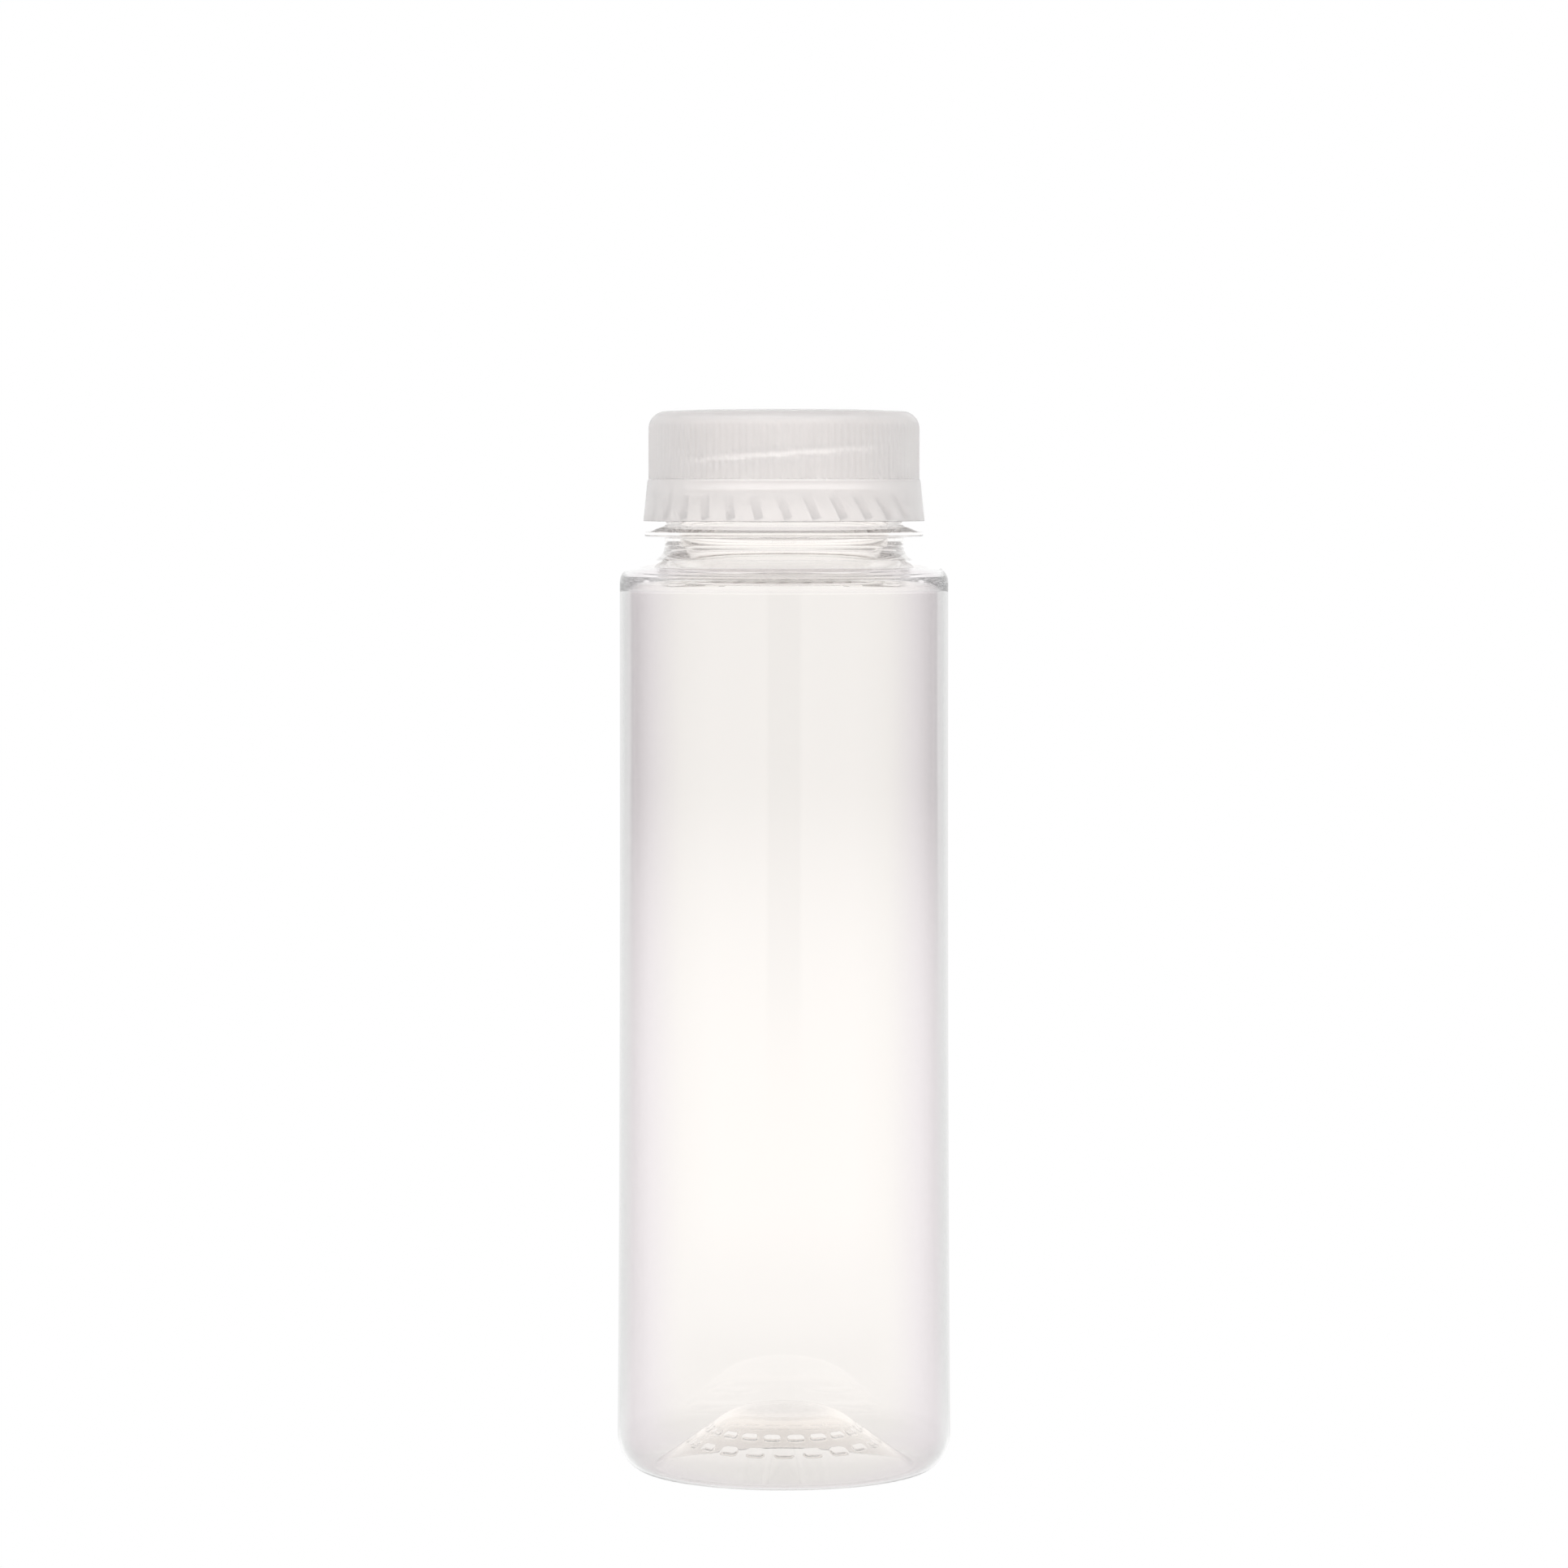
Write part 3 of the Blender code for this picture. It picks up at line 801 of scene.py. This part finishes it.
def colour_property(name, description, code):
    """A colour for the sidebar, from its sRGB hex code."""
    return bpy.props.FloatVectorProperty(
        name=name, description=description, default=linear(code), subtype="COLOR", size=4,
        min=0.0, max=1.0)


def level_property(name, description, level):
    """A brightness or a share for the sidebar."""
    return bpy.props.FloatProperty(name=name, description=description, default=level, min=0.0)


def length_property(name, description, length):
    """A length for the sidebar, in metres."""
    return bpy.props.FloatProperty(
        name=name, description=description, default=length, min=0.0, unit="LENGTH")


def count_property(name, description, count):
    """A number of like things round the bottle for the sidebar."""
    return bpy.props.IntProperty(name=name, description=description, default=count, min=3)


class BottleSizes(bpy.types.PropertyGroup):
    """Sizes of the low relief, which can change without changing the solids."""
    rib_count: count_property("Ribs", "Number of ribs round the cap", 120)
    rib_depth: length_property("Rib depth", "Depth of the cap's ribs", 0.2 * MM)
    mark_count: count_property("Base marks", "Number of raised dashes in each ring", 20)
    mark_height: length_property("Mark height", "How far the raised dashes stand out", 0.25 * MM)


class BottleLook(bpy.types.PropertyGroup):
    """Colours of the two plastics, with the painted shade on the clear PET's outline, heel, base
    and crown.
    """
    pet_facing: colour_property("PET, face on", "Tint of the clear wall seen face on", "#FEFCFA")
    # Painted edge shade: from turned to rim these darken the clear wall towards its outline
    pet_shade_turned: colour_property("PET, turned", "Tint where the wall turns away", "#FBF9F7")
    pet_shade_slanting: colour_property("PET, slanting", "Tint where it is seen aslant", "#F1EDF0")
    pet_shade_edge: colour_property("PET, edge", "Tint close to the outline", "#E1DCE0")
    pet_shade_rim: colour_property("PET, rim", "Tint at the outline itself", "#E3E5E6")
    # Painted shade of the heel and base
    pet_base_shade: colour_property("PET, base", "Further tint of the thick heel and base", "#F3F3F3")
    # Painted shade on the middle of the base's crown
    pet_crown_shade: colour_property("PET, gate", "Further tint of the hazy middle of the base", "#EAEBED")
    cap_thin: colour_property("Cap, thin", "Where the milky cap is clearest", "#FAF7F6")
    cap_thick: colour_property("Cap, thick", "Where the milky cap is cloudiest", "#F7F4F3")


class StudioLook(bpy.types.PropertyGroup):
    """Levels and sizes of what the walls of the bottle mirror."""
    room_front: level_property("Room, front", "Brightness in front of the bottle", 0.53)
    room_side: level_property("Room, sides", "Brightness beside the bottle", 0.45)
    room_panel: level_property("Back panel", "Brightness of the panel behind", 0.87)
    room_ceiling: level_property("Upper room", "Brightness above the camera's level", 1.1)
    panel_half_angle: bpy.props.FloatProperty(
        name="Panel half angle", description="How far round the back panel reaches",
        default=math.radians(42.0), subtype="ANGLE")
    gap_half_width: level_property("Gap", "Half width of the front gap, as a sine", 0.21)
    gap_depth: level_property("Gap depth", "How much dimmer the front gap is", 0.2)
    table_front: level_property("Table, front", "Brightness of the table ahead", 1.18)
    table_side: level_property("Table, sides", "Brightness of the table beside", 1.1)
    table_back: level_property("Table, back", "Brightness of the table behind", 0.9)
    shade_level: level_property("Foot shade", "Brightness just ahead of the foot", 0.53)
    contact_inner: length_property("Contact", "How far the table is white round the foot", 0.035)
    shade_inner: length_property("Shade, inner", "Where the foot's shade is full", 0.08)
    shade_outer: length_property("Shade, outer", "Where the foot's shade ends", 0.26)
    table_bright: length_property("Bright reach", "How far the table stays bright", 0.5)
    table_reach: length_property("Table reach", "Radius of the table", 2.2)


class BOTTLE_OT_shell(bpy.types.Operator):
    """Add the clear blown shell with its threaded finish and pushed-up base"""
    bl_idname = "bottle.shell"
    bl_label = "Blown shell"

    def execute(self, context):
        outline = shell_outline()
        shape = bmesh.new()
        relief = shell_relief(outline, context.scene.bottle_sizes)
        turned_rings(shape, outline, SHELL_SIDES, relief)
        piece = finished("clear_shell", shape, blown_pet(context.scene.bottle_look), SHELL_NODE)
        return {"FINISHED"}


class BOTTLE_OT_cap(bpy.types.Operator):
    """Add the ribbed screw cap with its slit, bridges, tamper band and flaps"""
    bl_idname = "bottle.cap"
    bl_label = "Screw cap"

    def execute(self, context):
        sizes = context.scene.bottle_sizes
        sides = SIDES_PER_RIB * sizes.rib_count
        shape = bmesh.new()
        outer, band, inner = [turned_rings(shape, outline, sides, cap_relief(sizes))
                              for outline in cap_outline()]
        bridge_slit(shape, (outer[-1], inner[0]), (band[0], band[-1]), sides)
        add_flaps(shape)
        material = moulded_polypropylene(context.scene.bottle_look)
        piece = finished("ribbed_cap", shape, material, CAP_NODE)
        return {"FINISHED"}


class BOTTLE_OT_studio(bpy.types.Operator):
    """Add the pale floor, the table that the shell mirrors, the lights and the camera"""
    bl_idname = "bottle.studio"
    bl_label = "Pale studio"

    def execute(self, context):
        scene = context.scene
        look = scene.studio_look
        flat_disc("pale_floor", look.table_reach, FLOOR_Z, table_glow(look))
        middle = (0.0, 0.0, TOTAL_HEIGHT * MM / 2)
        x, y, z = SOFTBOX_PLACE
        softbox("left_softbox", (-x, y, z), middle, SOFTBOX_SIZE, SOFTBOX_WATTS)
        softbox("right_softbox", (x, y, z), middle, SOFTBOX_SIZE, SOFTBOX_WATTS)
        studio_world(look)
        camera = bpy.data.cameras.new("photo_camera")
        camera.lens = CAMERA_LENS
        camera.sensor_width = SENSOR
        camera.sensor_height = SENSOR
        camera.sensor_fit = "HORIZONTAL"
        view = bpy.data.objects.new("photo_camera", camera)
        view.location = (0.0, -CAMERA_DISTANCE, CAMERA_HEIGHT)
        view.rotation_euler = (math.pi / 2 - CAMERA_PITCH, 0.0, 0.0)
        scene.collection.objects.link(view)
        scene.camera = view
        scene.view_settings.view_transform = "Standard"
        scene.cycles.use_denoising = True
        scene.cycles.max_bounces = 96
        scene.cycles.transmission_bounces = 64
        scene.cycles.glossy_bounces = 64
        scene.cycles.diffuse_bounces = 16
        return {"FINISHED"}


class BOTTLE_PT_sidebar(bpy.types.Panel):
    """The bottle's pieces and its look"""
    bl_idname = "BOTTLE_PT_sidebar"
    bl_label = "Drinks bottle"
    bl_space_type = "VIEW_3D"
    bl_region_type = "UI"
    bl_category = "Bottle"

    def draw(self, context):
        for piece in PIECES:
            self.layout.operator(piece.bl_idname)
        scene = context.scene
        for group in (scene.bottle_sizes, scene.bottle_look, scene.studio_look):
            for name in group.bl_rna.properties.keys():
                if name not in ("rna_type", "name"):
                    self.layout.prop(group, name)


PIECES = (BOTTLE_OT_studio, BOTTLE_OT_shell, BOTTLE_OT_cap)
CLASSES = (BottleSizes, BottleLook, StudioLook, *PIECES, BOTTLE_PT_sidebar)


def register():
    for kind in CLASSES:
        bpy.utils.register_class(kind)
    bpy.types.Scene.bottle_sizes = bpy.props.PointerProperty(type=BottleSizes)
    bpy.types.Scene.bottle_look = bpy.props.PointerProperty(type=BottleLook)
    bpy.types.Scene.studio_look = bpy.props.PointerProperty(type=StudioLook)


def unregister():
    del bpy.types.Scene.studio_look
    del bpy.types.Scene.bottle_look
    del bpy.types.Scene.bottle_sizes
    for kind in reversed(CLASSES):
        bpy.utils.unregister_class(kind)


def main():
    register()
    bpy.ops.bottle.studio()
    bpy.ops.bottle.shell()
    bpy.ops.bottle.cap()


if __name__ == "__main__":
    main()
